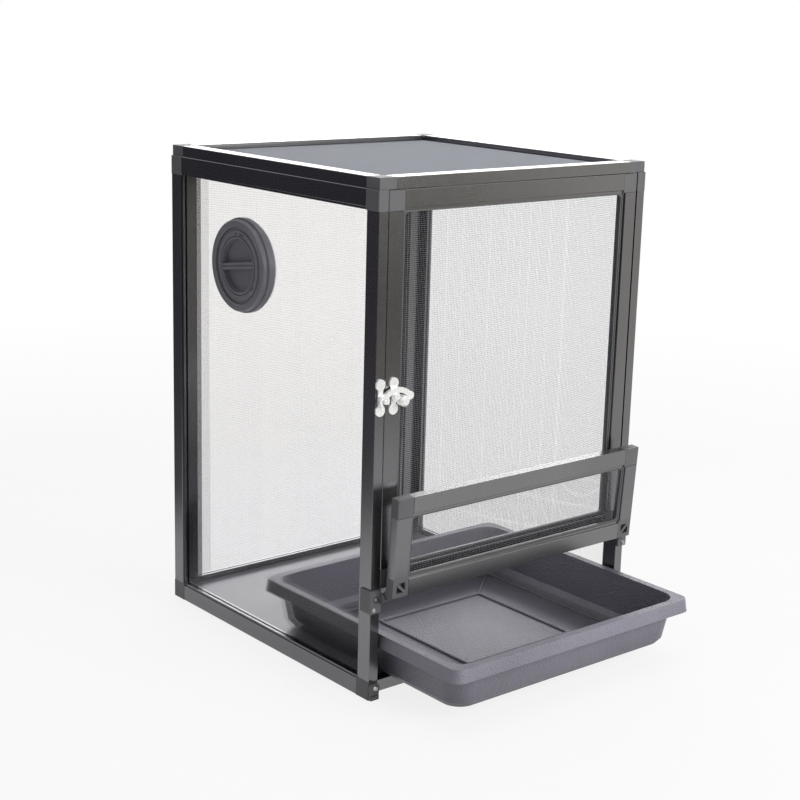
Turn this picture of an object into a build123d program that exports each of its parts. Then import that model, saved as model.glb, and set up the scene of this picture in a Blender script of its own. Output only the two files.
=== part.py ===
"""Reptile cage: a framed box with a front door, a drop flap below it and a sliding tray.

Millimetres. X runs to the right, Y to the back, Z up. The origin is on the ground,
at the centre of the square footprint. The door and its latch are shut, the flap is
folded up in front of the door, and the tray is half out.
"""
from build123d import *
from math import atan2, ceil, cos, degrees, radians, sin
import os

# Overall size
cage_width = 320.0
cage_depth = 320.0
body_height = 450.0

# Frame extrusion: a hollow bar with a stepped lip and a slot for the infill
frame_thickness = 10.0
rail_face = 15.5
lip_width = 2.2
lip_setback = 1.5
frame_wall = 1.2
edge_break = 0.5
slot_gap = 2.2
slot_depth = 4.0
web_behind_slot = 1.2

# Moulded corner blocks and their tongues
corner_proud = 0.4
tongue_length = 14.0
tongue_gap = 0.1

# Infill
sheet_thickness = 2.0
net_thickness = 1.0
tuck_gap = 0.2
net_strand = 1.6
net_pitch = 44.0

# Roof frame
roof_inset = 1.0

# Door
door_gap = 0.6
door_bottom = 102.5
door_pivot_inset = 2.5
door_pivot_radius = 1.2
door_pivot_depth = 6.5
pivot_lug_thickness = 1.2
pivot_lug_width = 6.0
pivot_lug_height = 9.5
pivot_lug_gap = 0.5

# Front sill and floor board
sill_setback = 9.7
sill_height = 11.4
sill_lift = 0.6
sill_depth = 14.0
floor_thickness = 3.0
floor_groove_gap = 0.1
floor_groove_depth = 3.0

# Drop flap
flap_side_gap = 0.5
flap_height = 91.0
flap_thickness = 9.3
flap_axis_out = 3.8
flap_axis_z = 95.5
flap_offset_out = 3.9
flap_offset_up = 3.4
flap_lean = 3.5
flap_pin_radius = 1.5
flap_pin_reach = 3.2
flap_lug_radius = 4.2
flap_lug_thickness = 3.0
flap_web_cut = 9.5
flap_web_bar = 2.6

# Running fits and seats
pin_clearance = 0.06
seat_gap = 0.1

# Flap brackets on the front posts
bracket_height = 21.0
bracket_bottom = 82.0
bracket_front = 2.6
bracket_side = 1.8
bracket_wrap = 12.0
bracket_recess_radius = 3.2
bracket_recess_depth = 1.2
bracket_ear_thickness = 2.0
bracket_screw_z = 94.5
bracket_low_screw_z = 85.0
bracket_screw_in = 4.5
bracket_low_screw_in = 3.0
bracket_ear_radius = 4.6

# Foot clips
clip_length = 19.0
clip_width = 9.0
clip_thickness = 4.0
clip_pivot_z = 12.2
clip_boss_radius = 4.8
clip_stand_off = 0.3
clip_shift = 0.4

# Small screws
screw_head_radius = 2.3
screw_head_height = 1.3
screw_shank_radius = 1.1
screw_length = 6.0
screw_drive_depth = 0.5
sunk_head_depth = 1.2

# Waste tray
tray_side_room = 13.5
tray_rim_width = cage_width - 2 * tray_side_room
tray_rim_length = 279.0
tray_height = 47.0
tray_wall = 2.4
tray_flange = 5.0
tray_rim_radius = 9.0
tray_lip_drop = 12.0
tray_lip_flare = 2.0
tray_corner_radius = 20.0
tray_foot_steps = ((0.0, 15.5, 5.0), (3.0, 10.0, 3.0), (8.0, 6.0, 1.0))
tray_plateau = 130.0
tray_plateau_rise = 4.0
tray_plateau_radius = 3.0
tray_plateau_bead = 1.2
tray_plateau_bead_width = 3.0
tray_pulled_out = 127.0
tray_rear_room = 4.0
tray_seat_gap = 0.2

# Side port
port_back = 38.0
port_below_top = 90.0
port_flange_radius = 44.0
port_flange_thickness = 4.5
port_tier_radius = 42.3
port_stand_out = 10.5
port_bore_radius = 33.6
port_sleeve_wall = 2.0
port_sleeve_reach = 4.6
port_seat_depth = 3.0
port_clamp_radius = 41.0
port_clamp_thickness = 2.8
port_lid_clearance = 0.3
port_lid_recess_radius = 25.0
port_lid_floor = 1.8
port_lid_depth = 8.0
port_bar_width = 5.0
port_bar_round = 1.6
port_mark_width = 2.2
port_mark_length = 5.0

# Latch
latch_z = 275.0
latch_lobe_radius = 4.9
latch_lobe_spacing = 22.5
latch_neck = 5.2
latch_plate = 1.6
latch_keeper_pin_radius = 2.0
latch_keeper_pin_length = 5.6
latch_keeper_drop = 2.8
latch_keeper_shift = 2.0
latch_hook_gap = 0.35
latch_hook_thickness = 3.0
latch_hook_radius = 5.4
latch_arm_width = 4.8
latch_arm_rise = 5.6
latch_tail_reach = 16.0
latch_ball_radius = 4.8
latch_ball_edge = 1.6
latch_tail_drop = 0.8
latch_ball_out = 7.4
latch_ball_drop = 4.2
latch_hub_radius = 4.4
latch_release_angle = 42.0
latch_stand_off = 0.3
latch_rivet_radius = 1.6
latch_rivet_head = 2.9

# Hidden square pegs between the frames
peg_side = 3.0
peg_length = 10.0
roof_peg_in = 5.5
roof_peg_along = 10.0
back_peg_in = 4.0
back_peg_low = 5.0

# Places that follow from the sizes above
half_width = cage_width / 2
half_depth = cage_depth / 2
corner_size = rail_face + lip_width
front_face = -half_depth
inner_half_width = half_width - frame_thickness
slot_centre = -frame_thickness / 2
panel_tuck = slot_depth - tuck_gap

door_width = 2 * (inner_half_width - door_gap)
door_height = body_height - door_gap - door_bottom
back_width = 2 * inner_half_width
roof_width = cage_width - 2 * roof_inset
roof_depth = cage_depth - 2 * roof_inset
flap_width = 2 * (inner_half_width - flap_side_gap)
flap_axis_y = front_face - flap_axis_out

floor_top = sill_lift + sill_height
floor_bottom = floor_top - floor_thickness

door_plane = Plane((0, front_face, door_bottom + door_height / 2), x_dir=(1, 0, 0), z_dir=(0, -1, 0))
left_plane = Plane((-half_width, 0, body_height / 2), x_dir=(0, -1, 0), z_dir=(-1, 0, 0))
right_plane = Plane((half_width, 0, body_height / 2), x_dir=(0, 1, 0), z_dir=(1, 0, 0))
back_plane = Plane((0, half_depth, body_height / 2), x_dir=(-1, 0, 0), z_dir=(0, 1, 0))
roof_plane = Plane((0, 0, body_height + frame_thickness), x_dir=(1, 0, 0), z_dir=(0, 0, 1))

parts = {}


def extrude_outline(points, plane, depth):
    """A prism from a closed outline on a plane, grown along the plane's normal."""
    outline = plane * make_face(Polyline(*points, close=True))
    return extrude(outline, amount=depth, dir=plane.z_dir)


def block(x0, x1, y0, y1, z0, z1):
    """A plain block between two opposite corners."""
    centre = ((x0 + x1) / 2, (y0 + y1) / 2, (z0 + z1) / 2)
    return Pos(*centre) * Box(x1 - x0, y1 - y0, z1 - z0)


def rod(start, direction, radius, length):
    """A round bar that starts at a point and runs in a direction."""
    bar = Cylinder(radius, length, align=(Align.CENTER, Align.CENTER, Align.MIN))
    return Plane(start, z_dir=direction) * bar


def rail(length, thickness=frame_thickness):
    """A frame rail along X. Its outer edge is at y = 0, its outer face at z = 0."""
    middle = -thickness / 2
    slot_low = middle - slot_gap / 2
    slot_high = middle + slot_gap / 2
    outline = [
        (0, -edge_break),
        (edge_break, 0),
        (rail_face - edge_break, 0),
        (rail_face, -edge_break),
        (rail_face, -lip_setback),
        (corner_size, -lip_setback),
        (corner_size, slot_high),
        (corner_size - slot_depth, slot_high),
        (corner_size - slot_depth, slot_low),
        (corner_size, slot_low),
        (corner_size, -thickness + lip_setback),
        (rail_face, -thickness + lip_setback),
        (rail_face, -thickness),
        (0, -thickness),
    ]
    hollow_end = corner_size - slot_depth - web_behind_slot
    hollow = [
        (frame_wall, -frame_wall),
        (hollow_end, -frame_wall),
        (hollow_end, -thickness + frame_wall),
        (frame_wall, -thickness + frame_wall),
    ]
    end = Plane((-length / 2, 0, 0), x_dir=(0, 1, 0), z_dir=(1, 0, 0))
    bar = extrude_outline(outline, end, length)
    return bar - extrude_outline(hollow, end, length)


def tongue(thickness=frame_thickness):
    """The tongue of a corner block, which fills the hollow of a rail along X."""
    low = frame_wall + tongue_gap
    high = corner_size - slot_depth - web_behind_slot - tongue_gap
    top = -frame_wall - tongue_gap
    bottom = -thickness + frame_wall + tongue_gap
    return block(corner_size, corner_size + tongue_length, low, high, bottom, top)


def corner(thickness=frame_thickness, proud=corner_proud, webbed=False):
    """A corner block with its outer corner at the origin and a tongue along X and along Y."""
    body = block(0, corner_size, 0, corner_size, -thickness, proud)
    body = chamfer(body.edges().group_by(Axis.Z)[-1], edge_break)
    if webbed:
        body -= web_windows(thickness, proud)
    along_y = mirror(Rot(0, 0, 90) * tongue(thickness), Plane.YZ)
    return body + tongue(thickness) + along_y


def web_windows(thickness, proud):
    """Two triangular windows that leave a diagonal web across a corner block."""
    low = (corner_size - flap_web_cut) / 2
    high = low + flap_web_cut
    bar = flap_web_bar * 2 ** 0.5 / 2
    face = Plane((0, 0, -thickness / 2), z_dir=(0, 0, 1))
    depth = thickness / 2 + 2 * proud
    first = extrude_outline([(low, low), (high - bar, low), (low, high - bar)], face, depth)
    second = extrude_outline([(high, high), (low + bar, high), (high, low + bar)], face, depth)
    return first + second


def frame_rails(width, height, thickness=frame_thickness):
    """Bottom, right, top and left rail of a frame centred on the origin."""
    across = rail(width - 2 * corner_size, thickness)
    upright = rail(height - 2 * corner_size, thickness)
    return [
        Pos(0, -height / 2, 0) * across,
        Pos(width / 2, 0, 0) * Rot(0, 0, 90) * upright,
        Pos(0, height / 2, 0) * Rot(0, 0, 180) * across,
        Pos(-width / 2, 0, 0) * Rot(0, 0, 270) * upright,
    ]


def frame_corners(width, height, thickness=frame_thickness, proud=corner_proud):
    """The four corner blocks of a frame: bottom left, bottom right, top right, top left."""
    places = [(-1, -1, 0), (1, -1, 90), (1, 1, 180), (-1, 1, 270)]
    return [
        Pos(sx * width / 2, sy * height / 2, 0) * Rot(0, 0, turn) * corner(thickness, proud)
        for sx, sy, turn in places
    ]


def infill_outline(width, height):
    """Outline of an infill whose edges sit in the slots and whose corners clear the blocks."""
    a = width / 2 - corner_size
    b = height / 2 - corner_size
    t = panel_tuck
    return [
        (-a, -b - t), (a, -b - t), (a, -b), (a + t, -b), (a + t, b), (a, b),
        (a, b + t), (-a, b + t), (-a, b), (-a - t, b), (-a - t, -b), (-a, -b),
    ]


def net(width, height, thickness=frame_thickness):
    """A woven net drawn at an open pitch: one flat plate with square gaps."""
    a = width / 2 - corner_size
    b = height / 2 - corner_size
    columns = max(1, ceil(2 * a / net_pitch))
    rows = max(1, ceil(2 * b / net_pitch))
    step_x = 2 * a / columns
    step_y = 2 * b / rows
    gap = Wire.make_rect(step_x - net_strand, step_y - net_strand)
    places = GridLocations(step_x, step_y, columns, rows)
    gaps = [place * gap for place in places]
    outer = Wire.make_polygon([Vector(x, y) for x, y in infill_outline(width, height)], close=True)
    plate = extrude(Face(outer, gaps), amount=net_thickness, dir=(0, 0, 1))
    return Pos(0, 0, -thickness / 2 - net_thickness / 2) * plate


def bead(width, height, thickness=frame_thickness):
    """The bead that runs round inside a frame, in front of its net, with round corners."""
    a = width / 2 - corner_size
    b = height / 2 - corner_size
    bead_width = lip_width - edge_break
    bead_front = lip_setback + edge_break
    bead_back = thickness / 2 - net_thickness / 2 - seat_gap
    outer = RectangleRounded(2 * a, 2 * b, edge_break)
    inner = RectangleRounded(2 * (a - bead_width), 2 * (b - bead_width), 2 * bead_width)
    ring = extrude(outer - inner, amount=bead_back - bead_front)
    return Pos(0, 0, -bead_back) * ring


def screw(place, direction):
    """A pan-head screw whose head's underside is at a place; the head looks along the direction."""
    head = Cone(screw_head_radius, screw_head_radius * 0.7, screw_head_height,
                align=(Align.CENTER, Align.CENTER, Align.MIN))
    drive = Pos(0, 0, screw_head_height) * Box(screw_head_radius * 1.1, 0.6, 2 * screw_drive_depth)
    cross = Pos(0, 0, screw_head_height) * Box(0.6, screw_head_radius * 1.1, 2 * screw_drive_depth)
    shank = Cylinder(screw_shank_radius, screw_length, align=(Align.CENTER, Align.CENTER, Align.MAX))
    return Plane(place, z_dir=direction) * (head - drive - cross + shank)


def flat_screw(place, direction):
    """A screw with a sunk head that ends flush at a place on a plate's face."""
    head = Pos(0, 0, -sunk_head_depth / 2) * Cone(screw_shank_radius, screw_head_radius, sunk_head_depth)
    drive = Box(screw_head_radius * 1.1, 0.6, 2 * screw_drive_depth)
    cross = Box(0.6, screw_head_radius * 1.1, 2 * screw_drive_depth)
    shank = Cylinder(screw_shank_radius, screw_length, align=(Align.CENTER, Align.CENTER, Align.MAX))
    return Plane(place, z_dir=direction) * (head + shank - drive - cross)


def sunk_hole(place, direction, room=0.05):
    """The countersunk bore for a flat screw."""
    head = Cone(screw_shank_radius + room, screw_head_radius + room, sunk_head_depth)
    sunk = Plane(place, z_dir=direction) * Pos(0, 0, -sunk_head_depth / 2) * head
    return sunk + screw_hole(place, direction, room)


def screw_hole(place, direction, room=0.15):
    """The bore for a screw's shank, to be cut from what it fastens."""
    back = Vector(*place) - Vector(*direction) * (screw_length + room)
    return rod(back, direction, screw_shank_radius + room, screw_length + 2 * room)


def place_frame(prefix, plane, names, width, height, thickness=frame_thickness):
    """Put a frame's four rails into the part, each under its own name."""
    for name, member in zip(names, frame_rails(width, height, thickness)):
        parts[prefix + name] = plane.location * member


# Side frames, the fixed ends of the box
for prefix, plane, rail_names in (
    ("left_", left_plane, ("bottom_rail", "front_post", "top_rail", "rear_post")),
    ("right_", right_plane, ("bottom_rail", "rear_post", "top_rail", "front_post")),
):
    place_frame(prefix, plane, rail_names, cage_depth, body_height)
    blocks = frame_corners(cage_depth, body_height)
    parts[prefix + "corner_blocks"] = plane.location * Compound(children=blocks)

# Back frame, between the side frames
place_frame("back_", back_plane, ("bottom_rail", "left_stile", "top_rail", "right_stile"),
            back_width, body_height)
back_blocks = frame_corners(back_width, body_height, proud=0)
parts["back_corner_blocks"] = back_plane.location * Compound(children=back_blocks)
parts["back_net"] = back_plane.location * net(back_width, body_height)
parts["right_net"] = right_plane.location * net(cage_depth, body_height)

# Clear left panel with the port's hole
port_centre = (port_back, body_height - port_below_top)
sheet_outer = -half_width - slot_centre - sheet_thickness / 2
sheet_inner = sheet_outer + sheet_thickness
sleeve_radius = port_bore_radius
sleeve_inner = port_bore_radius - port_sleeve_wall
sheet = extrude(make_face(Polyline(*infill_outline(cage_depth, body_height), close=True)),
                amount=sheet_thickness)
sheet = left_plane.location * Pos(0, 0, slot_centre - sheet_thickness / 2) * sheet
hole = rod((-cage_width, *port_centre), (1, 0, 0), sleeve_radius + seat_gap, cage_width)
parts["left_panel"] = sheet - hole


def ring_about_port(points):
    """A turned ring on the port's axis, from (distance along X, radius) points."""
    outline = make_face(Polyline(*points, close=True))
    turned = revolve(outline, axis=Axis.X)
    return Pos(0, *port_centre) * turned


# Port ring outside the panel, its clamp ring inside, and the turn-off lid
ring_back = sheet_outer
ring_front = ring_back - port_stand_out
tier_face = ring_back - port_flange_thickness
sleeve_end = sheet_inner + port_sleeve_reach
lid_seat = ring_front + port_seat_depth
seat_radius = port_bore_radius + port_sleeve_wall
parts["port_ring"] = ring_about_port([
    (ring_back, sleeve_radius),
    (ring_back, port_flange_radius),
    (tier_face, port_flange_radius),
    (tier_face - edge_break, port_flange_radius - edge_break),
    (tier_face - edge_break, port_tier_radius),
    (ring_front + 2 * edge_break, port_tier_radius),
    (ring_front, port_tier_radius - 2 * edge_break),
    (ring_front, seat_radius + edge_break),
    (ring_front + edge_break, seat_radius),
    (lid_seat, seat_radius),
    (lid_seat, sleeve_inner),
    (sleeve_end, sleeve_inner),
    (sleeve_end, sleeve_radius),
])
clamp_inner = sleeve_radius + seat_gap
parts["port_clamp_ring"] = ring_about_port([
    (sheet_inner, clamp_inner),
    (sheet_inner, port_clamp_radius),
    (sheet_inner + port_clamp_thickness - edge_break, port_clamp_radius),
    (sheet_inner + port_clamp_thickness, port_clamp_radius - edge_break),
    (sheet_inner + port_clamp_thickness, clamp_inner),
])
lid_rim_radius = seat_radius - port_lid_clearance
lid_plug_radius = sleeve_inner - port_lid_clearance
lid_face = ring_front + edge_break
lid_back = lid_face + port_lid_depth
port_lid = ring_about_port([
    (lid_face, port_lid_recess_radius),
    (lid_face, lid_rim_radius - edge_break),
    (lid_face + edge_break, lid_rim_radius),
    (lid_seat - seat_gap, lid_rim_radius),
    (lid_seat - seat_gap, lid_plug_radius),
    (lid_back, lid_plug_radius),
    (lid_back, 0),
    (lid_back - port_lid_floor, 0),
    (lid_back - port_lid_floor, port_lid_recess_radius),
])
bar_length = 2 * (port_lid_recess_radius + edge_break)
bar = Box(lid_back - lid_face - port_lid_floor + edge_break, bar_length, port_bar_width)
bar = fillet(bar.edges().filter_by(Axis.Y).group_by(Axis.X)[0], port_bar_round)
bar_middle = (lid_face + lid_back - port_lid_floor + edge_break) / 2
port_lid += Pos(bar_middle, *port_centre) * bar
mark_radius = (port_lid_recess_radius + lid_rim_radius) / 2 - port_mark_width
for mark_turn in (-12, 12, 232):
    mark = Pos(0, 0, mark_radius) * Box(2 * edge_break, port_mark_length, port_mark_width)
    port_lid -= Pos(lid_face, *port_centre) * Rot(mark_turn, 0, 0) * mark
parts["port_lid"] = port_lid

# Front sill and floor board
sill_front = front_face + sill_setback
sill_back = sill_front + sill_depth
sill = block(-inner_half_width, inner_half_width, sill_front, sill_back, sill_lift, floor_top)
sill -= block(-inner_half_width, inner_half_width, sill_front + frame_wall,
              sill_back - floor_groove_depth - frame_wall, sill_lift + frame_wall, floor_top - frame_wall)
floor_back = half_depth - frame_thickness + floor_groove_depth
floor_half = inner_half_width + floor_groove_depth
floor_front = sill_back - floor_groove_depth
groove_low = floor_bottom - floor_groove_gap
groove_high = floor_top + floor_groove_gap
sill -= block(-inner_half_width, inner_half_width, floor_front - floor_groove_gap, sill_back,
              groove_low, groove_high)
parts["front_sill"] = chamfer(sill.edges().filter_by(Axis.X).group_by(Axis.Y)[0], edge_break)
floor_cut = block(
    -floor_half - floor_groove_gap, floor_half + floor_groove_gap,
    floor_front - floor_groove_gap, floor_back + floor_groove_gap, groove_low, groove_high,
)
for name in ("left_bottom_rail", "right_bottom_rail", "back_bottom_rail",
             "left_corner_blocks", "right_corner_blocks", "back_corner_blocks"):
    pieces = [piece - floor_cut for piece in parts[name].solids()]
    parts[name] = Compound(children=[solid for piece in pieces for solid in piece.solids()])
parts["floor_board"] = block(-floor_half, floor_half, floor_front, floor_back, floor_bottom, floor_top)

# Roof frame
place_frame("roof_", roof_plane, ("front_rail", "right_rail", "rear_rail", "left_rail"),
            roof_width, roof_depth)
roof_blocks = frame_corners(roof_width, roof_depth, proud=0)
parts["roof_corner_blocks"] = roof_plane.location * Compound(children=roof_blocks)
parts["roof_net"] = roof_plane.location * net(roof_width, roof_depth)

# Door
pivot_x = inner_half_width - door_gap - door_pivot_inset
pivot_y = front_face + door_pivot_inset
place_frame("door_", door_plane, ("bottom_rail", "hinge_stile", "top_rail", "latch_stile"),
            door_width, door_height)
door_top = door_bottom + door_height
pivot_bore = rod((pivot_x, pivot_y, door_bottom - 1), (0, 0, 1), door_pivot_radius + pin_clearance,
                 door_height + 2)
hinge_edge = block(pivot_x, inner_half_width, front_face - 1, pivot_y, door_bottom - 1, door_top + 1)
round_radius = door_pivot_inset + door_gap / 2
rounded = rod((pivot_x, pivot_y, door_bottom - 1), (0, 0, 1), round_radius, door_height + 2)
door_blocks = [
    block_ - (hinge_edge - rounded) - pivot_bore
    for block_ in (door_plane.location * piece for piece in frame_corners(door_width, door_height, proud=0))
]
parts["door_corner_blocks"] = Compound(children=[s for piece in door_blocks for s in piece.solids()])
parts["door_hinge_stile"] = parts["door_hinge_stile"] - (hinge_edge - rounded)
parts["door_net"] = door_plane.location * net(door_width, door_height)
parts["door_bead"] = door_plane.location * bead(door_width, door_height)

# Door pivots: a pin in the roof's corner block, and one on a steel lug under the door
upper_pivot = rod((pivot_x, pivot_y, door_top - door_pivot_depth), (0, 0, 1), door_pivot_radius,
                  2 * door_pivot_depth)
lug_top = door_bottom - pivot_lug_gap
lug_near = pivot_y - door_pivot_radius
lug_far = lug_near + pivot_lug_width
lower_pivot = block(pivot_x - 2 * door_pivot_radius, inner_half_width, lug_near, lug_far,
                    lug_top - pivot_lug_thickness, lug_top)
lower_pivot += block(inner_half_width - pivot_lug_thickness, inner_half_width, lug_near, lug_far,
                     lug_top - pivot_lug_height, lug_top)
lower_pivot += rod((pivot_x, pivot_y, lug_top - pivot_lug_thickness), (0, 0, 1), door_pivot_radius,
                   pivot_lug_thickness + pivot_lug_gap + door_pivot_depth)
parts["door_pivots"] = Compound(children=[upper_pivot, lower_pivot])


def peg(start, direction, room):
    """A square peg that starts at a place and runs in a direction, or with some room its socket."""
    side = peg_side + 2 * room
    bar = Box(side, side, peg_length + 2 * room)
    return Plane(start, z_dir=direction) * Pos(0, 0, peg_length / 2) * bar


# Pegs that join the roof and the back to the side frames, and tongues that hold the sill
pegs = []
for side in (-1, 1):
    for end in (-1, 1):
        spot = (side * (half_width - roof_peg_in), end * (half_depth - roof_peg_along),
                body_height - peg_length / 2)
        pegs.append((spot, (0, 0, 1)))
    for height in (back_peg_low, body_height - back_peg_low):
        spot = (side * inner_half_width - peg_length / 2, half_depth - back_peg_in, height)
        pegs.append((spot, (1, 0, 0)))
parts["frame_pegs"] = Compound(children=[peg(spot, way, 0) for spot, way in pegs])
bores = [peg(spot, way, pin_clearance) for spot, way in pegs]
bores.append(rod((pivot_x, pivot_y, body_height - seat_gap), (0, 0, 1), door_pivot_radius + pin_clearance,
                 door_pivot_depth + seat_gap))
for name in ("left_corner_blocks", "right_corner_blocks", "back_corner_blocks", "roof_corner_blocks"):
    pieces = parts[name].solids()
    for bore in bores:
        pieces = [cut for piece in pieces for cut in (piece - bore).solids()]
    parts[name] = Compound(children=pieces)
for side, name in ((-1, "left_corner_blocks"), (1, "right_corner_blocks")):
    inner = side * inner_half_width
    reach = side * (inner_half_width - tongue_length)
    sill_tongue = block(min(inner, reach), max(inner, reach), sill_front + frame_wall + tongue_gap,
                        front_face + corner_size, sill_lift + frame_wall + tongue_gap,
                        floor_top - frame_wall - tongue_gap)
    pieces = parts[name].solids()
    foot = min(pieces, key=lambda piece: piece.center().Y + piece.center().Z)
    pieces = [(foot + sill_tongue).solids()[0] if piece is foot else piece for piece in pieces]
    parts[name] = Compound(children=pieces)

# Drop flap, drawn flat and then stood up on its axis with its lean
flap_middle = flap_offset_up + flap_height / 2
flap_plane = Plane((0, -flap_offset_out - flap_thickness, flap_middle), x_dir=(1, 0, 0), z_dir=(0, -1, 0))
flap_pose = Pos(0, flap_axis_y, flap_axis_z) * Rot(flap_lean, 0, 0)
for name, member in zip(("bottom_rail", "right_stile", "top_rail", "left_stile"),
                        frame_rails(flap_width, flap_height, flap_thickness)):
    parts["flap_" + name] = flap_pose * flap_plane.location * member
flap_blocks = frame_corners(flap_width, flap_height, flap_thickness, proud=0)
upper_blocks = [flap_pose * flap_plane.location * piece for piece in flap_blocks[2:]]
parts["flap_upper_corners"] = Compound(children=upper_blocks)
hinge_blocks = []
for side, turn in ((-1, 0), (1, 90)):
    piece = Rot(0, 0, turn) * corner(flap_thickness, 0, True)
    piece = flap_plane.location * Pos(side * flap_width / 2, -flap_height / 2, 0) * piece
    lug_out = side * (flap_width / 2 - flap_lug_thickness)
    outline = [
        (-flap_offset_out - flap_thickness + 2, flap_offset_up + 0.2),
        (-flap_offset_out, flap_offset_up + 5.0),
        (0, flap_lug_radius),
        (-flap_lug_radius * 0.9, -1.6),
    ]
    lug_plane = Plane((min(lug_out, side * flap_width / 2), 0, 0), x_dir=(0, 1, 0), z_dir=(1, 0, 0))
    lug = extrude_outline(outline, lug_plane, flap_lug_thickness)
    lug += rod((min(lug_out, side * flap_width / 2), 0, 0), (1, 0, 0), flap_lug_radius, flap_lug_thickness)
    lug_bore = rod((side * flap_width / 2 - 10, 0, 0), (1, 0, 0), flap_pin_radius + pin_clearance, 20)
    hinge_blocks.append(flap_pose * (piece + lug - lug_bore))
parts["flap_hinge_corners"] = Compound(children=hinge_blocks)
parts["flap_net"] = flap_pose * flap_plane.location * net(flap_width, flap_height, flap_thickness)
parts["flap_bead"] = flap_pose * flap_plane.location * bead(flap_width, flap_height, flap_thickness)

# Brackets that wrap the front posts and carry the flap's pins
bracket_top = bracket_bottom + bracket_height
frame_screws = []
flap_pins = []
for side, name in ((-1, "left"), (1, "right")):
    front = block(min(side * inner_half_width, side * (half_width + bracket_side)),
                  max(side * inner_half_width, side * (half_width + bracket_side)),
                  front_face - bracket_front, front_face, bracket_bottom, bracket_top)
    cheek = block(min(side * half_width, side * (half_width + bracket_side)),
                  max(side * half_width, side * (half_width + bracket_side)),
                  front_face, front_face + bracket_wrap, bracket_bottom, bracket_top)
    body = chamfer((front + cheek).edges().filter_by(Axis.Z).group_by(Axis.Y)[0], edge_break)
    ear_start = min(side * inner_half_width, side * (inner_half_width + bracket_ear_thickness))
    ear = rod((ear_start, flap_axis_y, flap_axis_z), (1, 0, 0), bracket_ear_radius, bracket_ear_thickness)
    ear &= block(-cage_width, cage_width, flap_axis_y - bracket_ear_radius - 1, front_face, 0, body_height)
    screw_x = side * (half_width - bracket_screw_in)
    low_screw_x = side * (half_width - bracket_low_screw_in)
    recess_centre = (screw_x, front_face - bracket_front, bracket_screw_z)
    recess = rod(recess_centre, (0, 1, 0), bracket_recess_radius, bracket_recess_depth)
    seat = (screw_x, front_face - bracket_front + bracket_recess_depth, bracket_screw_z)
    low_seat = (low_screw_x, front_face - bracket_front, bracket_low_screw_z)
    pin_start = min(side * (inner_half_width + bracket_ear_thickness),
                    side * (inner_half_width - flap_side_gap - flap_pin_reach))
    pin_length = bracket_ear_thickness + flap_side_gap + flap_pin_reach
    pin = rod((pin_start, flap_axis_y, flap_axis_z), (1, 0, 0), flap_pin_radius, pin_length)
    flap_pins.append(pin)
    body = body + ear - recess - screw_hole(seat, (0, -1, 0)) - screw_hole(low_seat, (0, -1, 0)) - pin
    parts[name + "_flap_bracket"] = body
    frame_screws += [(seat, (0, -1, 0)), (low_seat, (0, -1, 0))]
parts["flap_pivot_pins"] = Compound(children=flap_pins)

# Foot clips that turn over the shut flap
clip_back = front_face - clip_stand_off
clip_front = clip_back - clip_thickness
for side, name in ((-1, "left"), (1, "right")):
    centre_x = side * (inner_half_width + frame_thickness / 2 + clip_shift)
    arm_low = clip_pivot_z - clip_length + clip_boss_radius + clip_boss_radius * 0.6
    boss = rod((centre_x, clip_back, clip_pivot_z), (0, -1, 0), clip_boss_radius, clip_thickness)
    arm = block(centre_x - clip_width / 2, centre_x + clip_width / 2, clip_front, clip_back,
                max(arm_low, clip_stand_off), clip_pivot_z)
    clip = boss + arm
    clip = chamfer(clip.edges().filter_by(Plane.XZ).group_by(Axis.Y)[0], edge_break)
    groove = block(centre_x - clip_width, centre_x + clip_width, clip_front - 1, clip_front + 0.8,
                   clip_pivot_z - clip_boss_radius - 2.4, clip_pivot_z - clip_boss_radius - 1.2)
    bore = rod((centre_x, clip_front - 1, clip_pivot_z), (0, 1, 0), screw_shank_radius + pin_clearance,
               clip_thickness + 2)
    parts[name + "_foot_clip"] = clip - groove - bore
    frame_screws.append(((centre_x, clip_front - seat_gap, clip_pivot_z), (0, -1, 0)))

# Latch: keeper on the left post, base and swinging hook on the door's stile
keeper_x = -(inner_half_width + frame_thickness / 2)
base_x = -(inner_half_width - door_gap - rail_face / 2) + 1.0


def latch_base(middle_x):
    """A flat cast base: two round lobes joined by a neck, on the front plane."""
    plate = block(middle_x - latch_neck / 2, middle_x + latch_neck / 2, front_face - latch_plate, front_face,
                  latch_z - latch_lobe_spacing / 2, latch_z + latch_lobe_spacing / 2)
    for end in (-1, 1):
        lobe_place = (middle_x, front_face, latch_z + end * latch_lobe_spacing / 2)
        plate += rod(lobe_place, (0, -1, 0), latch_lobe_radius, latch_plate)
    return plate


hook_back = front_face - latch_plate - latch_stand_off
hook_front = hook_back - latch_hook_thickness
keeper_pin = (keeper_x + latch_keeper_shift, latch_z - latch_keeper_drop)
pin_room = latch_keeper_pin_radius + latch_hook_gap
keeper = latch_base(keeper_x)
keeper += rod((keeper_pin[0], front_face, keeper_pin[1]), (0, -1, 0), latch_keeper_pin_radius,
              latch_plate + latch_keeper_pin_length)
base = latch_base(base_x)
hook_plane = Plane((0, hook_back, 0), x_dir=(1, 0, 0), z_dir=(0, -1, 0))
arm_top = (base_x, latch_z + latch_arm_rise)
tail_end = (base_x + latch_tail_reach, latch_z - latch_tail_drop)
arm_line = ThreePointArc((keeper_pin[0] - 1.0, keeper_pin[1] + 1.0), arm_top, tail_end)
arm = trace(arm_line, line_width=latch_arm_width)
arm += Pos(*tail_end) * Circle(latch_arm_width * 0.75)
arm += Pos(keeper_pin[0], keeper_pin[1]) * Circle(latch_hook_radius)
arm += Pos(base_x, latch_z) * Circle(latch_hub_radius)
arm += Pos(base_x, latch_z + latch_arm_rise / 2) * Rectangle(latch_arm_width, latch_arm_rise)
ball_place = (base_x + latch_ball_out, latch_z - latch_ball_drop)
neck = Line((base_x, latch_z), ball_place)
arm += trace(neck, line_width=latch_arm_width * 0.8)
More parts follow.
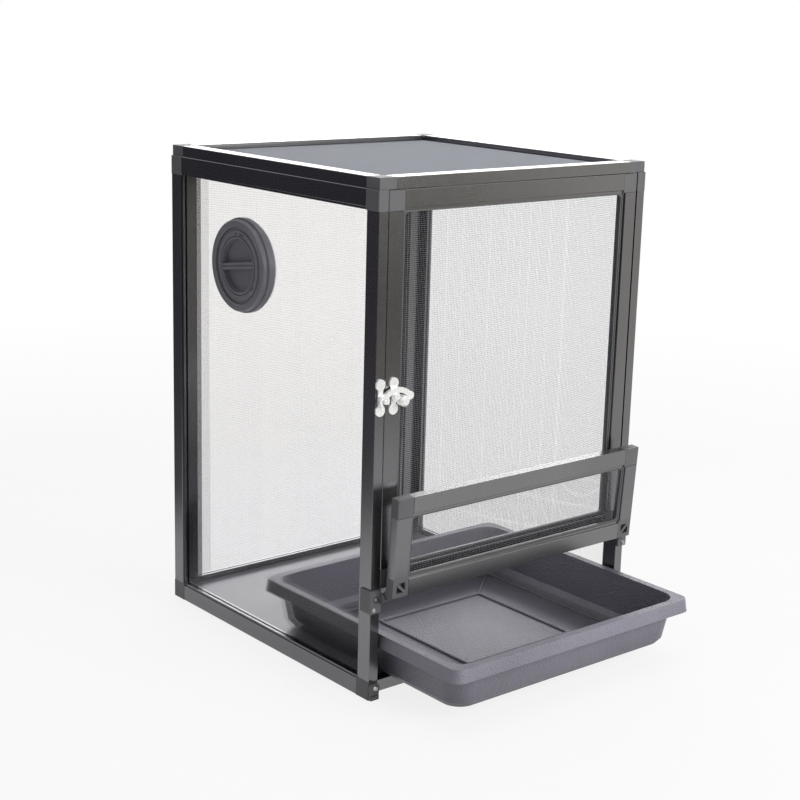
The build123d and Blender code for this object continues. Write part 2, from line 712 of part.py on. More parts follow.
reach_x = keeper_pin[0] - base_x
reach_z = keeper_pin[1] - latch_z
reach = (reach_x ** 2 + reach_z ** 2) ** 0.5
start_angle = degrees(atan2(reach_z, reach_x))
mouth_points = []
for share in (0, 0.5, 1):
    turn = radians(start_angle + latch_release_angle * share)
    mouth_points.append((base_x + reach * cos(turn), latch_z + reach * sin(turn)))
arm -= trace(ThreePointArc(*mouth_points), line_width=2 * pin_room)
arm -= Pos(*mouth_points[0]) * Circle(pin_room)
hook = extrude(hook_plane * arm, amount=latch_hook_thickness, dir=(0, -1, 0))
knob = rod((ball_place[0], hook_back, ball_place[1]), (0, -1, 0), latch_ball_radius, 1.6 * latch_ball_radius)
hook += chamfer(knob.edges().group_by(Axis.Y)[0], latch_ball_edge)
rivet_place = (base_x, front_face, latch_z)
hook -= rod(rivet_place, (0, -1, 0), latch_rivet_radius + pin_clearance, 2 * frame_thickness)
base -= rod(rivet_place, (0, -1, 0), latch_rivet_radius, 2 * frame_thickness)
rivet_length = latch_plate + latch_hook_thickness + 2 * latch_stand_off
rivet = rod(rivet_place, (0, -1, 0), latch_rivet_radius, rivet_length)
rivet += rod((base_x, hook_front - latch_stand_off, latch_z), (0, -1, 0), latch_rivet_head, 1.2)
keeper_screws = []
door_screws = []
for end in (-1, 1):
    lobe_z = latch_z + end * latch_lobe_spacing / 2
    keeper_spot = (keeper_x, front_face - latch_plate, lobe_z)
    base_spot = (base_x, front_face - latch_plate, lobe_z)
    keeper -= sunk_hole(keeper_spot, (0, -1, 0))
    base -= sunk_hole(base_spot, (0, -1, 0))
    keeper_screws.append((keeper_spot, (0, -1, 0)))
    door_screws.append((base_spot, (0, -1, 0)))
parts["latch_keeper"] = keeper
parts["latch_base"] = base
parts["latch_hook"] = hook
parts["latch_rivet"] = rivet

# Screws, and the holes they leave in the rails behind them
parts["frame_screws"] = Compound(children=[screw(spot, way) for spot, way in frame_screws])
parts["latch_keeper_screws"] = Compound(children=[flat_screw(spot, way) for spot, way in keeper_screws])
parts["latch_base_screws"] = Compound(children=[flat_screw(spot, way) for spot, way in door_screws])
for name in ("left_front_post", "right_front_post", "left_corner_blocks", "right_corner_blocks"):
    pieces = parts[name].solids()
    for spot, way in frame_screws + keeper_screws:
        hole = screw_hole(spot, way)
        pieces = [cut for piece in pieces for cut in (piece - hole).solids()]
    parts[name] = pieces[0] if len(pieces) == 1 else Compound(children=pieces)
for spot, way in door_screws:
    parts["door_latch_stile"] = parts["door_latch_stile"] - screw_hole(spot, way)

# Waste tray, standing on the sill and the floor board, half out
tray_bottom = floor_top + tray_seat_gap
tray_rear = half_depth - frame_thickness - tray_rear_room - tray_pulled_out
tray_middle = tray_rear - tray_rim_length / 2


def tray_section(height, inset, radius):
    """A rounded rectangle of the tray at a height, a distance in from the rim's outline."""
    width = tray_rim_width - 2 * inset
    length = tray_rim_length - 2 * inset
    return Pos(0, 0, height) * RectangleRounded(width, length, radius)


def tray_shell(offset, bottom, top):
    """The tray's outside, or with an offset its inside: wall, foot steps and round corners."""
    steps = [
        tray_section(bottom + height, tray_flange + inset + offset, tray_corner_radius - less - offset)
        for height, inset, less in tray_foot_steps
    ]
    steps.append(tray_section(top, tray_flange + offset, tray_corner_radius - offset))
    return loft(steps, ruled=True)


def lip_section(height, flare, offset):
    """The rim's outline at a height, flared out by a distance and offset inwards."""
    return tray_section(height, offset - flare, tray_rim_radius - offset + flare)


lip_low = tray_height - tray_lip_drop
lip = loft([lip_section(lip_low, tray_lip_flare, 0), lip_section(tray_height, 0, 0)], ruled=True)
lip -= loft([lip_section(lip_low, tray_lip_flare, tray_wall),
             lip_section(tray_height - tray_wall, 0, tray_wall)], ruled=True)
tray = tray_shell(0, 0, tray_height) + lip
tray -= tray_shell(tray_wall, tray_wall, tray_height)
floor_inset = tray_flange + tray_foot_steps[0][1] + tray_wall + 0.5
plateau_top = tray_wall + tray_plateau_rise
plateau_face = RectangleRounded(tray_plateau, tray_plateau, tray_plateau_radius)
hump = loft([tray_section(tray_wall / 2, floor_inset, tray_plateau_radius * 3),
             Pos(0, 0, plateau_top) * plateau_face], ruled=True)
hollow = loft([tray_section(0, floor_inset, tray_plateau_radius * 3),
               Pos(0, 0, tray_plateau_rise) * plateau_face], ruled=True)
bead_side = tray_plateau - 2 * tray_plateau_bead_width
bead_inside = Rectangle(bead_side, bead_side)
plateau_bead = extrude(Pos(0, 0, plateau_top) * (plateau_face - bead_inside), amount=tray_plateau_bead)
tray = tray + hump + plateau_bead - hollow
parts["waste_tray"] = Pos(0, tray_middle, tray_bottom) * tray

os.makedirs("parts", exist_ok=True)
for name, shape in parts.items():
    export_step(shape, f"parts/{name}.step")
print(len(parts), "parts")
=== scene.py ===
"""Looks of the reptile cage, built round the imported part. Metres, Z up, front towards -Y."""
import math

import bpy
from mathutils import Matrix, Vector


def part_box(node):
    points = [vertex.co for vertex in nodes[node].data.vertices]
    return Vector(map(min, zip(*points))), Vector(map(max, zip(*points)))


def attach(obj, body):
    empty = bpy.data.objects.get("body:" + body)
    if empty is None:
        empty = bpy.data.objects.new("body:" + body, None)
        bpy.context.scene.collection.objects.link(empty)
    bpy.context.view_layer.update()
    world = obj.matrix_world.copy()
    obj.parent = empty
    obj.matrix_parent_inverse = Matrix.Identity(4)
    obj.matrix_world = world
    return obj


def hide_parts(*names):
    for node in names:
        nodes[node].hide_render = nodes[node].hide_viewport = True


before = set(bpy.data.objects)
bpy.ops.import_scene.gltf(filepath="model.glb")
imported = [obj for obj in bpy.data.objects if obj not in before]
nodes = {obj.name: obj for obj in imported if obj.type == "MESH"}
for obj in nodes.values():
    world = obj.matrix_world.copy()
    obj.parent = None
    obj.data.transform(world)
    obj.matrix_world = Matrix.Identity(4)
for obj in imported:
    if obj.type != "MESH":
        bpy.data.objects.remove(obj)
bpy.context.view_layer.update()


# Camera: the photograph's viewing angle, as solved on its 800 px frame

PHOTO_PIXELS = 800.0
FOCAL_PIXELS = 1620.6
SENSOR_WIDTH = 36.0
CAMERA_AZIMUTH = -39.82
CAMERA_ELEVATION = 14.04
CAMERA_ROLL = 1.53
CAMERA_PLACE = (-0.9908, -1.1895, 0.6053)


def make_camera():
    """The scene's camera, turned by azimuth, elevation and roll."""
    azimuth = math.radians(CAMERA_AZIMUTH)
    elevation = math.radians(CAMERA_ELEVATION)
    roll = math.radians(CAMERA_ROLL)
    back = Vector((math.sin(azimuth) * math.cos(elevation),
                   -math.cos(azimuth) * math.cos(elevation), math.sin(elevation)))
    forward = -back
    right = forward.cross(Vector((0, 0, 1))).normalized()
    up = right.cross(forward)
    rolled_right = math.cos(roll) * right + math.sin(roll) * up
    rolled_up = -math.sin(roll) * right + math.cos(roll) * up
    data = bpy.data.cameras.new("camera")
    data.sensor_width = SENSOR_WIDTH
    data.lens = SENSOR_WIDTH * FOCAL_PIXELS / PHOTO_PIXELS
    data.clip_start = 0.05
    data.clip_end = 50.0
    camera = bpy.data.objects.new("camera", data)
    bpy.context.scene.collection.objects.link(camera)
    turn = Matrix((rolled_right, rolled_up, back)).transposed()
    camera.matrix_world = Matrix.Translation(CAMERA_PLACE) @ turn.to_4x4()
    bpy.context.scene.camera = camera


make_camera()


# Node trees

class Tree:
    """A small helper for writing node trees. A value may be a number, a colour or an output."""

    def __init__(self, tree):
        self.tree = tree

    def put(self, value, socket):
        """Link an output into a socket, or set the socket to a plain value."""
        if isinstance(value, bpy.types.NodeSocket):
            self.tree.links.new(value, socket)
        else:
            socket.default_value = value

    def add(self, kind, **values):
        """A new node. A keyword is a property of the node, or else the input of that name."""
        node = self.tree.nodes.new(kind)
        for key, value in values.items():
            if hasattr(node, key):
                setattr(node, key, value)
            else:
                self.put(value, node.inputs[key.replace("_", " ")])
        return node

    def math(self, operation, first, second):
        node = self.add("ShaderNodeMath", operation=operation)
        self.put(first, node.inputs[0])
        self.put(second, node.inputs[1])
        return node.outputs[0]

    def spread(self, value, low, high, to_low=0.0, to_high=1.0, smooth=True):
        """The span from low to high, mapped to another span and clamped there."""
        kind = "SMOOTHSTEP" if smooth else "LINEAR"
        node = self.add("ShaderNodeMapRange", interpolation_type=kind, Value=value, From_Min=low,
                        From_Max=high, To_Min=to_low, To_Max=to_high)
        return node.outputs["Result"]

    def span(self, factor, low, high):
        """A factor from 0 to 1, spread evenly between two values."""
        return self.spread(factor, 0.0, 1.0, low, high, smooth=False)

    def blend(self, factor, first, second):
        """The first colour at factor 0, the second at factor 1."""
        node = self.add("ShaderNodeMix", data_type="RGBA", Factor=factor, A=first, B=second)
        return node.outputs["Result"]

    def axes(self, vector):
        """The outputs X, Y and Z of a vector."""
        return self.add("ShaderNodeSeparateXYZ", Vector=vector).outputs

    def rays(self):
        """1 for a ray that shows the background, and 1 for a glossy ray alone."""
        path = self.add("ShaderNodeLightPath").outputs
        seen = self.math("MAXIMUM", path["Is Camera Ray"], path["Is Transmission Ray"])
        return self.math("MAXIMUM", seen, path["Is Glossy Ray"]), path["Is Glossy Ray"]


class Material(Tree):
    """A node material on one Principled shader, laid out in object coordinates."""

    def __init__(self, name):
        self.material = bpy.data.materials.new(name)
        self.material.use_nodes = True
        super().__init__(self.material.node_tree)
        self.shader = self.tree.nodes["Principled BSDF"]
        self.place = self.add("ShaderNodeTexCoord").outputs["Object"]

    def mapped(self, scale):
        """Object coordinates times a scale: one number, or one for each axis."""
        if not isinstance(scale, tuple):
            scale = (scale, scale, scale)
        return self.add("ShaderNodeMapping", Vector=self.place, Scale=scale).outputs["Vector"]

    def noise(self, scale, detail=3.0, roughness=0.5):
        node = self.add("ShaderNodeTexNoise", Vector=self.mapped(scale), Scale=1.0,
                        Detail=detail, Roughness=roughness)
        return node.outputs["Fac"]

    def ramp(self, factor, dark, light):
        """A colour between two, over the middle part of a noise."""
        node = self.add("ShaderNodeValToRGB", Fac=factor)
        for element, place, colour in zip(node.color_ramp.elements, (0.3, 0.7), (dark, light)):
            element.position = place
            element.color = (*colour, 1.0)
        return node.outputs["Color"]

    def bump(self, heights, distance, strength, after=None):
        node = self.add("ShaderNodeBump", Height=heights, Distance=distance, Strength=strength)
        if after is not None:
            self.put(after, node.inputs["Normal"])
        return node.outputs["Normal"]

    def set(self, **values):
        """Values of the shader's inputs."""
        for key, value in values.items():
            self.put(value, self.shader.inputs[key.replace("_", " ")])


# Materials

DRAW_LINES_ACROSS = 900.0
DRAW_LINES_ALONG = 12.0
# Base colour by the axis of the draw lines. Their differences are painted sheen, lighter along x,
# darker along z and darkest along y, standing in for the reflections of brushed metal.
ANODISED_PAINTED_SHEEN = {"x": (0.185, 0.182, 0.184), "y": (0.135, 0.132, 0.142), "z": (0.172, 0.169, 0.176)}
ANODISED_VARIATION = 1.12

# The tray's floor lies between these heights where it dips below its plateau. There its colour is
# darkened as painted shade, down to the dip share at the lowest.
TRAY_DIP_LOW = 0.0162
TRAY_DIP_HIGH = 0.0186
TRAY_DIP_SHADE_SHARE = 0.45
# Reach of the ambient occlusion, and the near black it blends towards: painted shade in the tray's
# corners and dips
TRAY_SHADE_REACH = 0.07
TRAY_PAINTED_SHADE = (0.012, 0.012, 0.015, 1.0)


def anodised(axis):
    """Dark anodised extrusion, with the draw lines of the die along one axis, and a base colour
    for that axis that paints the sheen of brushed metal.
    """
    m = Material("anodised_" + axis)
    lines = m.noise(tuple(DRAW_LINES_ALONG if axis == a else DRAW_LINES_ACROSS for a in "xyz"),
                    2.0, 0.6)
    dark = ANODISED_PAINTED_SHEEN[axis]
    light = tuple(ANODISED_VARIATION * part for part in dark)
    m.set(Base_Color=m.ramp(m.noise(9.0), dark, light), Metallic=0.94,
          Roughness=m.span(m.noise(160.0, 4.0, 0.7), 0.20, 0.27),
          Normal=m.bump(lines, 0.00001, 0.3))
    return m.material


def moulded(name, dark, light, rough_low, rough_high, grain, depth):
    """Moulded plastic with a fine spark-eroded grain."""
    m = Material(name)
    grit = m.noise(grain, 4.0, 0.6)
    m.set(Base_Color=m.ramp(m.noise(22.0), dark, light),
          Roughness=m.span(grit, rough_low, rough_high), Normal=m.bump(grit, depth, 0.6))
    return m.material


def tray_plastic():
    """Thick plastic sheet with a pebbled grain, with painted shade in its corners and round the
    plateau.
    """
    m = Material("tray_grain_painted_shade")
    cells = m.add("ShaderNodeTexVoronoi", feature="SMOOTH_F1", Scale=1.0, Vector=m.mapped(620.0))
    pebbles = m.noise(500.0, 2.0)
    fine = m.noise(1500.0, 3.0, 0.6)
    unshaded = m.ramp(m.noise(14.0), (0.180, 0.176, 0.218), (0.230, 0.225, 0.275))
    # Painted shade: ambient occlusion and a low floor height darken the colour towards a near
    # black
    painted_shade_ao = m.add("ShaderNodeAmbientOcclusion", Distance=TRAY_SHADE_REACH, samples=8)
    dip_shade = m.spread(m.axes(m.place)["Z"], TRAY_DIP_LOW, TRAY_DIP_HIGH, TRAY_DIP_SHADE_SHARE)
    colour = m.blend(m.math("MULTIPLY", painted_shade_ao.outputs["AO"], dip_shade), TRAY_PAINTED_SHADE, unshaded)
    first = m.bump(cells.outputs["Distance"], 0.0006, 0.8)
    second = m.bump(pebbles, 0.0007, 0.8, first)
    m.set(Base_Color=colour, Roughness=m.span(fine, 0.34, 0.5), Specular_IOR_Level=0.6,
          Normal=m.bump(fine, 0.0001, 0.6, second))
    return m.material


def wire_coating(name, dark, light, metallic=0.0):
    """Coating of the woven wire."""
    m = Material(name)
    knots = m.noise(1200.0, 2.0)
    m.set(Base_Color=m.ramp(knots, dark, light), Metallic=metallic,
          Roughness=m.span(knots, 0.45, 0.65))
    return m.material


def clear_sheet():
    """Clear plastic sheet with faint rolling marks."""
    m = Material("clear_sheet")
    marks = m.noise((60.0, 60.0, 3.0), 2.0)
    m.set(Base_Color=m.ramp(marks, (0.86, 0.85, 0.90), (0.92, 0.915, 0.95)),
          Roughness=m.span(marks, 0.02, 0.08), Transmission_Weight=1.0, IOR=1.08, Alpha=0.3)
    return m.material


def plated():
    """Bright plated casting."""
    m = Material("plated_casting")
    haze = m.noise(900.0)
    m.set(Base_Color=m.ramp(haze, (0.93, 0.93, 0.92), (0.99, 0.99, 0.98)), Metallic=0.4,
          Roughness=m.span(haze, 0.18, 0.32), Normal=m.bump(m.noise(260.0, 2.0), 0.0004, 0.25))
    return m.material


def turned_steel():
    """Zinc-plated steel with fine turning marks."""
    m = Material("turned_steel")
    marks = m.noise(2500.0, 2.0)
    m.set(Base_Color=m.ramp(marks, (0.42, 0.42, 0.42), (0.6, 0.6, 0.6)), Metallic=1.0,
          Roughness=m.span(marks, 0.22, 0.38), Normal=m.bump(marks, 0.00004, 0.4))
    return m.material


metal = {axis: anodised(axis) for axis in "xyz"}
block_plastic = moulded("block_plastic", (0.092, 0.090, 0.095), (0.118, 0.116, 0.122),
                        0.45, 0.6, 1800.0, 0.00006)
port_plastic = moulded("port_plastic", (0.165, 0.160, 0.180), (0.205, 0.200, 0.222),
                       0.30, 0.45, 1500.0, 0.00005)
bead_plastic = moulded("bead_plastic", (0.07, 0.07, 0.073), (0.10, 0.10, 0.104),
                       0.35, 0.5, 1500.0, 0.00004)
floor_sheet = moulded("floor_sheet", (0.135, 0.133, 0.155), (0.170, 0.168, 0.195),
                      0.25, 0.4, 700.0, 0.00005)
tray_material = tray_plastic()
wire_material = wire_coating("wire_coating", (0.24, 0.24, 0.26), (0.33, 0.33, 0.35))
# The roof's wire is the same coating, drawn much lighter as painted light from the lamps above
roof_wire_painted_light_material = wire_coating("roof_wire_coating_painted_light", (0.50, 0.52, 0.57), (0.60, 0.62, 0.67), 0.3)
clear_material = clear_sheet()
chrome_material = plated()
steel_material = turned_steel()

special = {"floor_board": floor_sheet, "waste_tray": tray_material, "left_panel": clear_material}


def finish_for(name):
    """The material of a CAD node, by its name."""
    if name in special:
        return special[name]
    if "corner" in name or name.endswith(("_bracket", "_clip", "_pegs")):
        return block_plastic
    if name.startswith("port_"):
        return port_plastic
    if name.endswith("_bead"):
        return bead_plastic
    if name.startswith("latch_"):
        return chrome_material
    if name.endswith(("screws", "_pins", "_pivots")):
        return steel_material
    if name.endswith("_net"):
        return wire_material
    if name.endswith(("_post", "_stile")):
        return metal["z"]
    sideways = name.startswith(("left_", "right_", "roof_left_", "roof_right_"))
    return metal["y" if sideways else "x"]


for name, node in nodes.items():
    node.data.materials.clear()
    node.data.materials.append(finish_for(name))


# Woven mesh

NET_INSET = 0.0005
WIRE_PITCH = 0.00178
WIRE_RADIUS = 0.00008
ROOF_WIRE_RADIUS = 0.00013
WIRE_LAYER = 0.7
FLAP_LEAN = math.radians(3.5)
FLAP_NET_TRIM = 0.0011


def link_mesh(name, verts, faces, material, smooth=False):
    """A mesh object from plain lists, linked to the scene."""
    mesh = bpy.data.meshes.new(name)
    mesh.from_pydata(verts, [], faces)
    mesh.materials.append(material)
    mesh.update()
    for polygon in mesh.polygons:
        polygon.use_smooth = smooth
    made = bpy.data.objects.new(name, mesh)
    bpy.context.scene.collection.objects.link(made)
    return made


def weave(node, body, origin, across, up, width, height, radius=WIRE_RADIUS,
          material=wire_material):
    """Woven wire in place of a net: straight four-sided wires at the real pitch, in two layers."""
    origin = Vector(origin)
    across = Vector(across).normalized()
    up = Vector(up).normalized()
    normal = across.cross(up)
    verts = []
    faces = []

    def wire(start, end, offset):
        side = (end - start).normalized().cross(normal)
        base = len(verts)
        for point in (start, end):
            for s, n in ((1, 0), (0, 1), (-1, 0), (0, -1)):
                verts.append(point + side * (s * radius) + normal * (n * radius + offset))
        for i in range(4):
            j = (i + 1) % 4
            faces.append((base + i, base + 4 + i, base + 4 + j, base + j))

    columns = round(width / WIRE_PITCH)
    rows = round(height / WIRE_PITCH)
    for i in range(1, columns):
        foot = origin + across * (width * i / columns)
        wire(foot, foot + up * height, radius * WIRE_LAYER)
    for j in range(1, rows):
        edge = origin + up * (height * j / rows)
        wire(edge, edge + across * width, -radius * WIRE_LAYER)
    made = link_mesh(node + "_woven", verts, faces, material)
    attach(made, body)
    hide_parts(node)


def weave_for(node, body, *wire):
    """Woven wire over a net that lies square to the axes."""
    low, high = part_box(node)
    middle = (low + high) / 2
    size = high - low - Vector((2 * NET_INSET,) * 3)
    start = low + Vector((NET_INSET,) * 3)
    thin = min(range(3), key=lambda i: size[i])
    start[thin] = middle[thin]
    run, rise = (i for i in range(3) if i != thin)
    axis = ((1, 0, 0), (0, 1, 0), (0, 0, 1))
    weave(node, body, start, axis[run], axis[rise], size[run], size[rise], *wire)


def weave_flap():
    """Woven wire over the flap's net, which leans out from its foot."""
    low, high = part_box("flap_net")
    up = Vector((0, -math.sin(FLAP_LEAN), math.cos(FLAP_LEAN)))
    front = Vector((0, -math.cos(FLAP_LEAN), -math.sin(FLAP_LEAN)))
    corner = Vector((low.x + NET_INSET, high.y, low.z))
    start = corner + up * NET_INSET + front * NET_INSET
    height = (high.z - low.z) / math.cos(FLAP_LEAN) - FLAP_NET_TRIM
    weave("flap_net", "flap", start, (1, 0, 0), up, high.x - low.x - 2 * NET_INSET, height)


weave_for("right_net", "cage")
weave_for("back_net", "cage")
weave_for("roof_net", "cage", ROOF_WIRE_RADIUS, roof_wire_painted_light_material)
weave_for("door_net", "door")
weave_flap()


# Port lid, in millimetres in from its face and out from its centre

LID_STEPS = 144
LID_PROFILE = [(8.0, 33.2), (2.4, 33.2), (2.4, 35.2), (1.9, 35.2), (1.9, 32.6), (0.7, 32.2),
               (0.4, 31.8), (0.4, 30.6), (0.4, 30.4), (0.4, 28.8), (0.4, 28.6), (0.5, 27.7),
               (1.6, 27.4), (1.6, 26.6), (0.3, 26.4), (0.0, 26.1), (0.0, 25.5), (0.3, 25.1),
               (6.2, 24.3)]
LID_BACK = 8.0
LID_FLOOR = 6.2
SLOT_EDGES = (30.4, 28.8)
SLOT_DEPTH = 1.8
SLOTS = ((-6.0, 1.6), (11.0, 5.2), (128.0, 5.2))
BAR_SECTION = [(6.4, -3.3), (0.9, -3.1), (0.2, -2.5), (0.0, -1.8), (0.2, -0.6), (1.5, 0.1),
               (0.7, 0.9), (0.5, 1.6), (0.7, 2.6), (1.4, 3.1), (6.4, 3.3)]
BAR_RUNS = ((-24.9, 1.2), (-24.2, 0.0), (25.6, 0.0), (26.4, 1.2))
BAR_FOOT = 6.4
BAR_TILT = math.radians(9.0)


def in_slot(degrees):
    """Whether an angle round the lid falls in one of its slots."""
    radius = sum(SLOT_EDGES) / 2
    for middle, length in SLOTS:
        away = (degrees - middle + 180.0) % 360.0 - 180.0
        if abs(math.radians(away)) * radius < length / 2:
            return True
    return False


def lid_disc():
    """A turned disc with a pocket and three slots: vertices in millimetres, and faces."""
    verts = []
    faces = []
    count = len(LID_PROFILE)
    for i in range(LID_STEPS):
        degrees = 360.0 * i / LID_STEPS
        turn = math.radians(degrees)
        for depth, radius in LID_PROFILE:
            if radius in SLOT_EDGES and in_slot(degrees):
                depth = SLOT_DEPTH
            verts.append(Vector((depth, -radius * math.sin(turn), radius * math.cos(turn))))
    back = len(verts)
    verts += [Vector((LID_BACK, 0, 0)), Vector((LID_FLOOR, 0, 0))]
    for i in range(LID_STEPS):
        a = i * count
        b = (i + 1) % LID_STEPS * count
        faces.append((back, a, b))
        faces += [(a + j, a + j + 1, b + j + 1, b + j) for j in range(count - 1)]
        faces.append((a + count - 1, back + 1, b + count - 1))
    return verts, faces


def lid_bar(base):
    """The grooved bar across the pocket, front end up; base is its first vertex's number."""
    verts = []
    faces = []
    width = len(BAR_SECTION)
    for run, sink in BAR_RUNS:
        for depth, rise in BAR_SECTION:
            verts.append(Vector((min(depth + sink, BAR_FOOT),
                                 run * math.cos(BAR_TILT) + rise * math.sin(BAR_TILT),
                                 rise * math.cos(BAR_TILT) - run * math.sin(BAR_TILT))))
    for step in range(len(BAR_RUNS) - 1):
        for j in range(width):
            a = base + step * width + j
            b = base + step * width + (j + 1) % width
            faces.append((a, b, b + width, a + width))
    faces.append(tuple(base + j for j in reversed(range(width))))
    faces.append(tuple(base + (len(BAR_RUNS) - 1) * width + j for j in range(width)))
    return verts, faces


def port_lid():
    """The twist lid in place of the port's plain one."""
    low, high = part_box("port_lid")
    centre = Vector((low.x, (low.y + high.y) / 2, (low.z + high.z) / 2))
    verts, faces = lid_disc()
    bar_verts, bar_faces = lid_bar(len(verts))
    verts = [centre + vert / 1000 for vert in verts + bar_verts]
    made = link_mesh("port_lid_stepped", verts, faces + bar_faces, port_plastic)
    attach(made, "port_lid")
    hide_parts("port_lid")


port_lid()


# Beads of the tray's floor

PLATEAU_TOP = 0.0076
FLOOR_TOP = 0.0024
PLATEAU_BEAD = {"half": 0.0640, "corner": 0.0035, "sunk": 0.0006, "radius": 0.0017}
FOOT_BEAD = {"half_x": 0.1185, "half_y": 0.1115, "corner": 0.006, "radius": 0.0019}
HIP_START = 0.0645
HIP_SUNK = 0.0016
HIP_SHORT = 0.003
HIP_RADIUS = 0.0015
HIP_STEPS = 6
CORNER_STEPS = 6
BEAD_SIDES = 10


def tube(points, radius, closed):
    """Vertices and faces of a round bead along points."""
    verts = []
    faces = []
    count = len(points)
    for i, point in enumerate(points):
        before = points[i - 1] if closed or i else point
        after = points[(i + 1) % count] if closed or i < count - 1 else point
        ahead = (after - before).normalized()
        side = ahead.cross(Vector((0, 0, 1))).normalized()
        top = side.cross(ahead)
        for k in range(BEAD_SIDES):
            turn = 2 * math.pi * k / BEAD_SIDES
            verts.append(point + radius * (math.cos(turn) * side + math.sin(turn) * top))
    for i in range(count if closed else count - 1):
        here = i * BEAD_SIDES
        there = (i + 1) % count * BEAD_SIDES
        for k in range(BEAD_SIDES):
            n = (k + 1) % BEAD_SIDES
            faces.append((here + k, there + k, there + n, here + n))
    return verts, faces


def round_cornered(half_x, half_y, corner, middle, height):
    """Points round a rectangle with round corners, centred on x = 0 and y = middle."""
    points = []
    for quarter, (sx, sy) in enumerate(((1, 1), (-1, 1), (-1, -1), (1, -1))):
        for step in range(CORNER_STEPS + 1):
            turn = math.radians(90 * (quarter + step / CORNER_STEPS))
            points.append(Vector((sx * (half_x - corner) + corner * math.cos(turn),
                                  middle + sy * (half_y - corner) + corner * math.sin(turn),
                                  height)))
    return points


def tray_beads():
    """Beads round the plateau and along the walls' foot, and the four hips between them."""
    low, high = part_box("waste_tray")
    middle = (low.y + high.y) / 2
    plateau_top = low.z + PLATEAU_TOP
    floor_top = low.z + FLOOR_TOP
    half = PLATEAU_BEAD["half"]
    foot_x, foot_y = FOOT_BEAD["half_x"], FOOT_BEAD["half_y"]
    plateau = round_cornered(half, half, PLATEAU_BEAD["corner"], middle,
                             plateau_top - PLATEAU_BEAD["sunk"])
    foot = round_cornered(foot_x, foot_y, FOOT_BEAD["corner"], middle, floor_top)
    strands = [(plateau, PLATEAU_BEAD["radius"], True), (foot, FOOT_BEAD["radius"], True)]
    for sx in (-1, 1):
        for sy in (-1, 1):
            inner = Vector((sx * HIP_START, middle + sy * HIP_START, plateau_top - HIP_SUNK))
            outer = Vector((sx * (foot_x - HIP_SHORT), middle + sy * (foot_y - HIP_SHORT),
                            floor_top))
            hip = [inner.lerp(outer, t / HIP_STEPS) for t in range(HIP_STEPS + 1)]
            strands.append((hip, HIP_RADIUS, False))
    verts = []
    faces = []
    for points, radius, closed in strands:
        more, sides = tube(points, radius, closed)
        faces += [tuple(len(verts) + k for k in face) for face in sides]
        verts += more
    made = link_mesh("tray_beads", verts, faces, tray_material, smooth=True)
    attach(made, "tray")


tray_beads()


# Floor, backdrop and light

WHITE = (1.0, 1.0, 1.0, 1.0)
FLOOR_REACH = 6.0
FLOOR_LEVEL = -0.0002
SHADOW_NEAR = 0.75
SHADOW_FAR = 1.6
SHADOW_SHARE = 0.17

# In reflections the floor is white on a round table and takes the room's colour beyond it
TABLE_CENTRE = (0.1, -0.25, 0.0)
TABLE_NEAR = 0.64
TABLE_FAR = 0.86
ROOM_LEFT = (0.085, 0.080, 0.102, 1.0)
ROOM_FRONT = (0.16, 0.15, 0.105, 1.0)
ROOM_RIGHT = (1.0, 0.98, 0.93, 1.0)
ROOM_TOP = 0.25
ROOM_LOW = 0.02
WORLD_LEFT = 0.22
WORLD_RIGHT = 0.40


def room_colour(tree, direction):
    """What glossy rays meet far off: dark on the left, olive in front, bright on the right."""
    axes = tree.axes(direction)
    edge = tree.spread(axes["Y"], -0.3, 0.3, 0.645, -0.2)
    past = tree.math("SUBTRACT", axes["X"], edge)
    dark = tree.blend(tree.spread(axes["X"], -0.5, 0.5), ROOM_LEFT, ROOM_FRONT)
    return tree.blend(tree.spread(past, -0.03, 0.09), dark, ROOM_RIGHT)


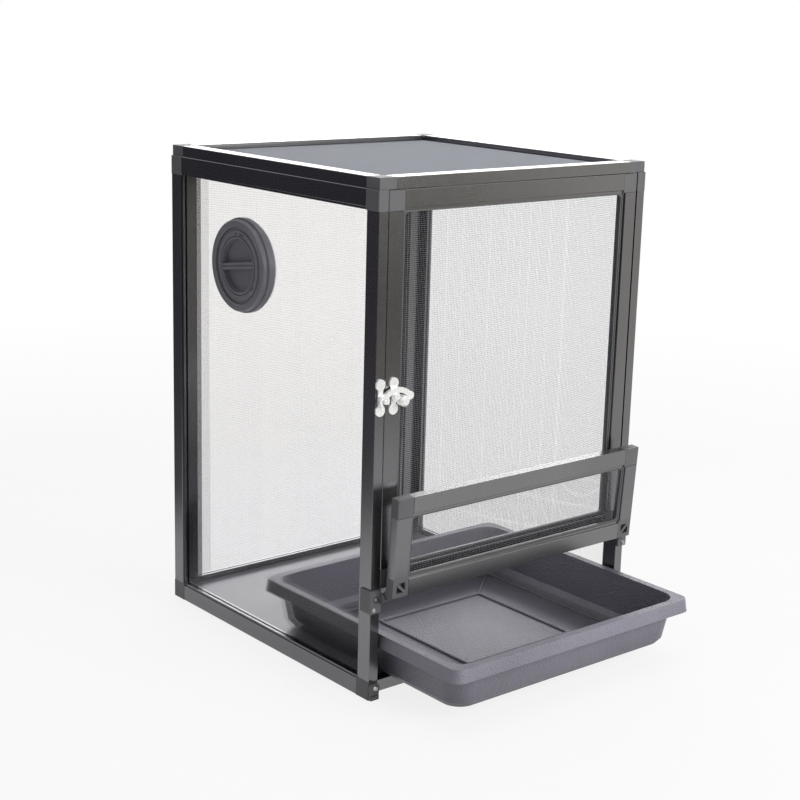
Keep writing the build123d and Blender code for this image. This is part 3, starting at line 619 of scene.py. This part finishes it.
def make_floor():
    """A white floor that keeps the object's shadow."""
    m = Material("floor")
    m.set(Base_Color=m.ramp(m.noise(3.0, 2.0), (0.93, 0.93, 0.93), (0.95, 0.95, 0.95)),
          Roughness=0.9, Specular_IOR_Level=0.0)
    shown, glossy = m.rays()
    reach = m.add("ShaderNodeVectorMath", operation="LENGTH", Vector=m.place)
    share = m.spread(reach.outputs["Value"], SHADOW_NEAR, SHADOW_FAR, 1.0 - SHADOW_SHARE,
                     smooth=False)
    table = m.add("ShaderNodeVectorMath", operation="DISTANCE")
    m.put(m.place, table.inputs[0])
    m.put(TABLE_CENTRE, table.inputs[1])
    beyond = m.spread(table.outputs["Value"], TABLE_NEAR, TABLE_FAR)
    bearing = m.add("ShaderNodeVectorMath", operation="NORMALIZE", Vector=m.place)
    colour = m.blend(m.math("MULTIPLY", beyond, glossy), WHITE,
                     room_colour(m, bearing.outputs["Vector"]))
    glow = m.add("ShaderNodeEmission", Color=colour, Strength=1.0)
    mix = m.add("ShaderNodeMixShader", Fac=m.math("MULTIPLY", shown, share))
    m.put(m.shader.outputs[0], mix.inputs[1])
    m.put(glow.outputs[0], mix.inputs[2])
    m.put(mix.outputs[0], m.tree.nodes["Material Output"].inputs["Surface"])
    corners = [(x * FLOOR_REACH, y * FLOOR_REACH, FLOOR_LEVEL)
               for x, y in ((-1, -1), (1, -1), (1, 1), (-1, 1))]
    link_mesh("floor", corners, [(0, 1, 2, 3)], m.material)


def make_world():
    """White to the camera. Reflections see the room low down, and its light is soft and dim."""
    world = bpy.data.worlds.new("world")
    bpy.context.scene.world = world
    world.use_nodes = True
    tree = Tree(world.node_tree)
    back = tree.tree.nodes["Background"]
    direction = tree.add("ShaderNodeTexCoord").outputs["Generated"]
    axes = tree.axes(direction)
    shown, glossy = tree.rays()
    low = tree.spread(axes["Z"], ROOM_TOP, ROOM_LOW)
    colour = tree.blend(tree.math("MULTIPLY", low, glossy), WHITE, room_colour(tree, direction))
    tree.put(colour, back.inputs["Color"])
    soft = tree.spread(axes["X"], -0.8, 0.2, WORLD_LEFT, WORLD_RIGHT, smooth=False)
    tree.put(tree.span(shown, soft, 1.0), back.inputs["Strength"])


def area_light(name, place, aim, size, power):
    """A soft box at a place, turned to an aim."""
    data = bpy.data.lights.new(name, "AREA")
    data.shape = "RECTANGLE"
    data.size, data.size_y = size
    data.energy = power
    lamp = bpy.data.objects.new(name, data)
    bpy.context.scene.collection.objects.link(lamp)
    lamp.location = place
    lamp.rotation_euler = (Vector(aim) - Vector(place)).to_track_quat("-Z", "Y").to_euler()


make_floor()
make_world()
area_light("key", (0.7, -2.2, 1.1), (0, 0, 0.2), (1.6, 1.4), 38.0)
area_light("top", (0.1, 0.1, 2.2), (0, 0, 0.2), (1.6, 1.6), 9.0)
area_light("fill", (-2.2, 0.2, 0.9), (0, 0, 0.2), (1.2, 1.2), 1.5)
area_light("rim", (1.9, 2.3, 1.2), (0, 0, 0.45), (2.0, 0.8), 22.0)

bpy.context.scene.view_settings.view_transform = "Standard"
